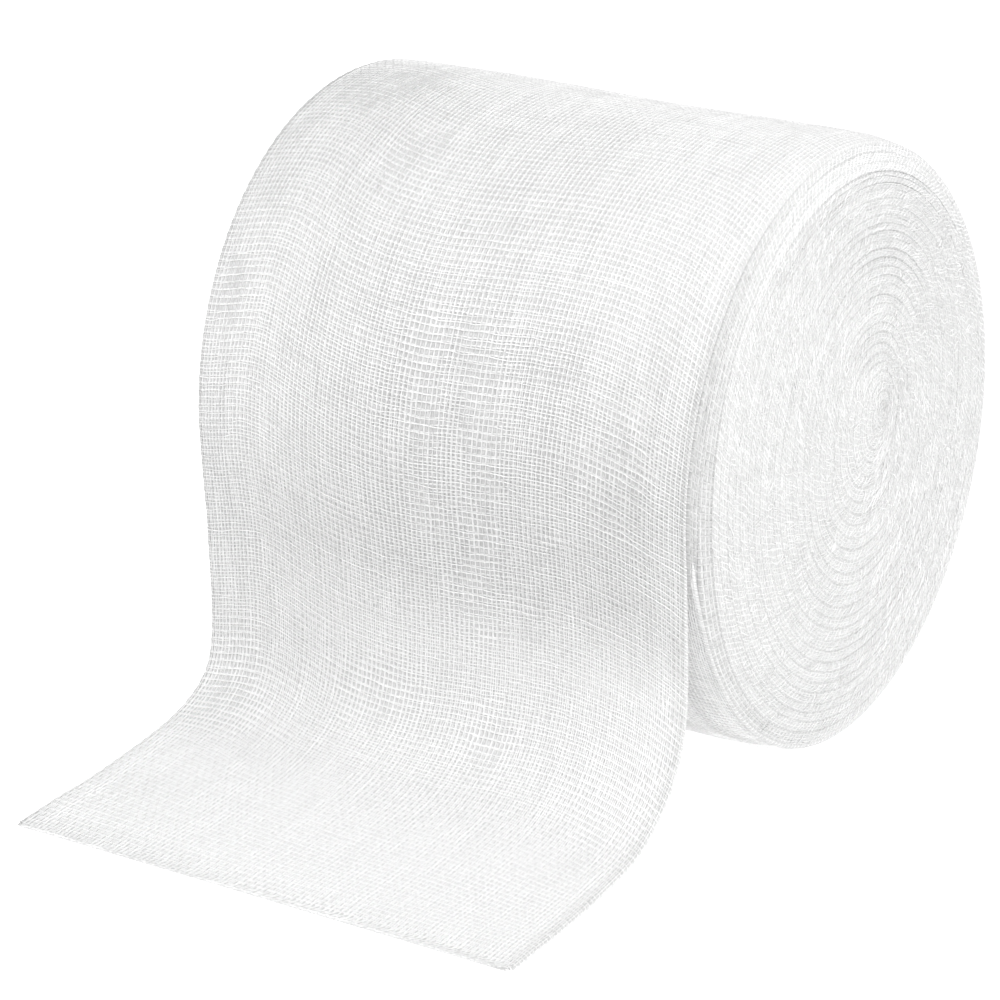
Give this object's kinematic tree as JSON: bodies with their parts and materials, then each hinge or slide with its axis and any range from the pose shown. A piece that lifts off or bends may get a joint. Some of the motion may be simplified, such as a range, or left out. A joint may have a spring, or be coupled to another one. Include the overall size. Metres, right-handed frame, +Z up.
{
  "type": "gauze bandage roll",
  "caption": "Wound roll of folded open-weave cotton gauze, its loose end hanging down the front and running out flat on the surface",
  "frame": {"origin": "On the resting surface, under the middle of the whole object's box", "axes": "+X along the roll's axis, towards the end with the slack rim; -Y the way the loose end runs out; +Z up"},
  "size_m": [0.1, 0.1624, 0.1105],
  "materials": {
    "wound_cotton": "bleached absorbent cotton gauze, dry and matte, seen on its folded edges and outer turn",
    "loose_cotton": "bleached absorbent cotton gauze, open weave in several plies, dry and matte"
  },
  "bodies": {
    "root": {"wound_roll": "wound_cotton", "loose_end": "loose_cotton"}
  },
  "joints": []
}
